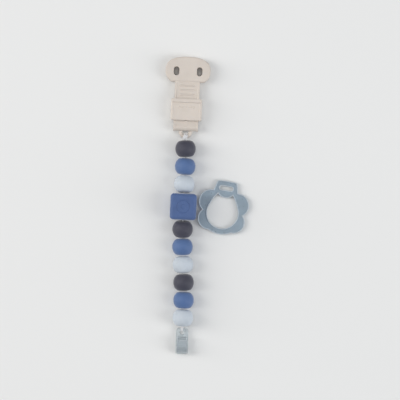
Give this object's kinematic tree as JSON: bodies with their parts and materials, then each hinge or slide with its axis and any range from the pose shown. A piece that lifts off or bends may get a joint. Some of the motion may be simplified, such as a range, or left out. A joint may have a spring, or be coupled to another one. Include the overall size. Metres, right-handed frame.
{
  "type": "soother clip",
  "caption": "Soother clip: garment clip with a sliding collar, a string of round silicone beads and a cube bead, a clear snap connector, and a loose silicone adapter ring.",
  "frame": {"origin": "centre of the flat back of the clip's head, on the surface that the part lies on", "axes": "+Y along the clip towards the head's tip, +X to the right seen from the front, +Z out of the clip's front face"},
  "size_m": [0.0655, 0.2179, 0.0194],
  "materials": {
    "clip_plastic": "matte moulded beige",
    "silicone_dark": "matte slate silicone",
    "silicone_blue": "matte blue silicone",
    "silicone_light": "matte pale grey silicone",
    "silicone_cube": "matte blue silicone",
    "cord": "braided white polyester",
    "clear_plastic": "clear moulded plastic",
    "adapter_silicone": "translucent grey-blue silicone"
  },
  "bodies": {
    "clip_rear": {"rear_jaw": "clip_plastic", "spring_bend": "clip_plastic", "cord_arch": "clip_plastic"},
    "clip_front": {"front_jaw": "clip_plastic"},
    "collar": {"collar": "clip_plastic"},
    "cord_top": {"top_cord_loop": "cord"},
    "link_1": {"cord_1": "cord"},
    "bead_1_body": {"bead_1": "silicone_dark"},
    "link_2": {"cord_2": "cord"},
    "bead_2_body": {"bead_2": "silicone_blue"},
    "link_3": {"cord_3": "cord"},
    "bead_3_body": {"bead_3": "silicone_light"},
    "link_4": {"cord_4": "cord"},
    "cube_body": {"cube_bead": "silicone_cube"},
    "link_5": {"cord_5": "cord"},
    "bead_5_body": {"bead_5": "silicone_dark"},
    "link_6": {"cord_6": "cord"},
    "bead_6_body": {"bead_6": "silicone_blue"},
    "link_7": {"cord_7": "cord"},
    "bead_7_body": {"bead_7": "silicone_light"},
    "link_8": {"cord_8": "cord"},
    "bead_8_body": {"bead_8": "silicone_dark"},
    "link_9": {"cord_9": "cord"},
    "bead_9_body": {"bead_9": "silicone_blue"},
    "link_10": {"cord_10": "cord"},
    "bead_10_body": {"bead_10": "silicone_light"},
    "cord_bottom": {"bottom_cord_loop": "cord"},
    "connector": {"connector_base": "clear_plastic"},
    "flap": {"connector_flap": "clear_plastic"},
    "adapter": {"adapter_ring": "adapter_silicone"}
  },
  "joints": [
    {"name": "collar_slide", "type": "slide", "parent": "clip_rear", "child": "collar", "axis": [0, -1, 0], "range_m": [0, 0.008]},
    {"name": "jaw_open", "type": "hinge", "parent": "clip_rear", "child": "clip_front", "pos_m": [0, -0.042, 0.0049], "axis": [1, 0, 0], "range_deg": [0, 9.02], "deforming": ["spring_bend"]},
    {"name": "cord_top_swing", "type": "hinge", "parent": "clip_rear", "child": "cord_top", "pos_m": [0, -0.04915, 0.0039], "axis": [-1, 0, 0], "range_deg": [0, 40]},
    {"name": "cord_bend_1", "type": "hinge", "parent": "cord_top", "child": "link_1", "pos_m": [0, -0.0517, 0.00752], "axis": [0, 0, 1], "range_deg": [-15, 5]},
    {"name": "cord_bend_2", "type": "hinge", "parent": "link_1", "child": "link_2", "pos_m": [0.00113, -0.06465, 0.00752], "axis": [0, 0, 1], "range_deg": [-3, 17]},
    {"name": "cord_bend_3", "type": "hinge", "parent": "link_2", "child": "link_3", "pos_m": [0.00068, -0.07769, 0.00752], "axis": [0, 0, 1], "range_deg": [-13, 7]},
    {"name": "cord_bend_4", "type": "hinge", "parent": "link_3", "child": "link_4", "pos_m": [0.0009, -0.09069, 0.00981], "axis": [0, 0, 1], "range_deg": [-8, 10]},
    {"name": "cord_bend_5", "type": "hinge", "parent": "link_4", "child": "link_5", "pos_m": [0.0009, -0.11049, 0.00981], "axis": [0, 0, 1], "range_deg": [-10, 8]},
    {"name": "cord_bend_6", "type": "hinge", "parent": "link_5", "child": "link_6", "pos_m": [0.00113, -0.12349, 0.00752], "axis": [0, 0, 1], "range_deg": [-12, 8]},
    {"name": "cord_bend_7", "type": "hinge", "parent": "link_6", "child": "link_7", "pos_m": [0.00181, -0.13652, 0.00752], "axis": [0, 0, 1], "range_deg": [-12, 8]},
    {"name": "cord_bend_8", "type": "hinge", "parent": "link_7", "child": "link_8", "pos_m": [0.00295, -0.14947, 0.00752], "axis": [0, 0, 1], "range_deg": [-9, 11]},
    {"name": "cord_bend_9", "type": "hinge", "parent": "link_8", "child": "link_9", "pos_m": [0.00385, -0.16244, 0.00752], "axis": [0, 0, 1], "range_deg": [-7, 13]},
    {"name": "cord_bend_10", "type": "hinge", "parent": "link_9", "child": "link_10", "pos_m": [0.00408, -0.17544, 0.00752], "axis": [0, 0, 1], "range_deg": [-8, 12]},
    {"name": "cord_bend_11", "type": "hinge", "parent": "link_10", "child": "cord_bottom", "pos_m": [0.00385, -0.18843, 0.00752], "axis": [0, 0, 1], "range_deg": [-11, 9]},
    {"name": "bead_1_spin", "type": "hinge", "parent": "link_1", "child": "bead_1_body", "pos_m": [0.00057, -0.05818, 0.00752], "axis": [0.0872, -0.9962, 0], "continuous": true},
    {"name": "bead_2_spin", "type": "hinge", "parent": "link_2", "child": "bead_2_body", "pos_m": [0.00091, -0.07115, 0.00752], "axis": [-0.0349, -0.9994, 0], "continuous": true},
    {"name": "bead_3_spin", "type": "hinge", "parent": "link_3", "child": "bead_3_body", "pos_m": [0.00079, -0.08414, 0.00866], "axis": [0.0172, -0.9847, 0.1736], "continuous": true},
    {"name": "cube_spin", "type": "hinge", "parent": "link_4", "child": "cube_body", "pos_m": [0.0009, -0.10059, 0.00981], "axis": [0, -1, 0], "continuous": true},
    {"name": "bead_5_spin", "type": "hinge", "parent": "link_5", "child": "bead_5_body", "pos_m": [0.00102, -0.11704, 0.00866], "axis": [0.0172, -0.9847, -0.1736], "continuous": true},
    {"name": "bead_6_spin", "type": "hinge", "parent": "link_6", "child": "bead_6_body", "pos_m": [0.00147, -0.13003, 0.00752], "axis": [0.0523, -0.9986, 0], "continuous": true},
    {"name": "bead_7_spin", "type": "hinge", "parent": "link_7", "child": "bead_7_body", "pos_m": [0.00238, -0.14299, 0.00752], "axis": [0.0872, -0.9962, 0], "continuous": true},
    {"name": "bead_8_spin", "type": "hinge", "parent": "link_8", "child": "bead_8_body", "pos_m": [0.0034, -0.15595, 0.00752], "axis": [0.0698, -0.9976, 0], "continuous": true},
    {"name": "bead_9_spin", "type": "hinge", "parent": "link_9", "child": "bead_9_body", "pos_m": [0.00397, -0.16894, 0.00752], "axis": [0.0175, -0.9998, 0], "continuous": true},
    {"name": "bead_10_spin", "type": "hinge", "parent": "link_10", "child": "bead_10_body", "pos_m": [0.00397, -0.18194, 0.00752], "axis": [-0.0175, -0.9998, 0], "continuous": true},
    {"name": "connector_swing", "type": "hinge", "parent": "cord_bottom", "child": "connector", "pos_m": [0.00385, -0.19033, 0.00362], "axis": [-0.9997, -0.0262, 0], "range_deg": [0, 60]},
    {"name": "flap_open", "type": "hinge", "parent": "connector", "child": "flap", "pos_m": [0.00425, -0.2056, 0.00462], "axis": [0.9997, 0.0262, 0], "range_deg": [0, 100]},
    {"name": "adapter_lift", "type": "slide", "parent": "link_4", "child": "adapter", "axis": [0, 0, 1], "range_m": [0, 0.03]}
  ],
  "couplings": [
    {"joint": "jaw_open", "follows": "collar_slide", "rad_per_m": 19.635}
  ]
}
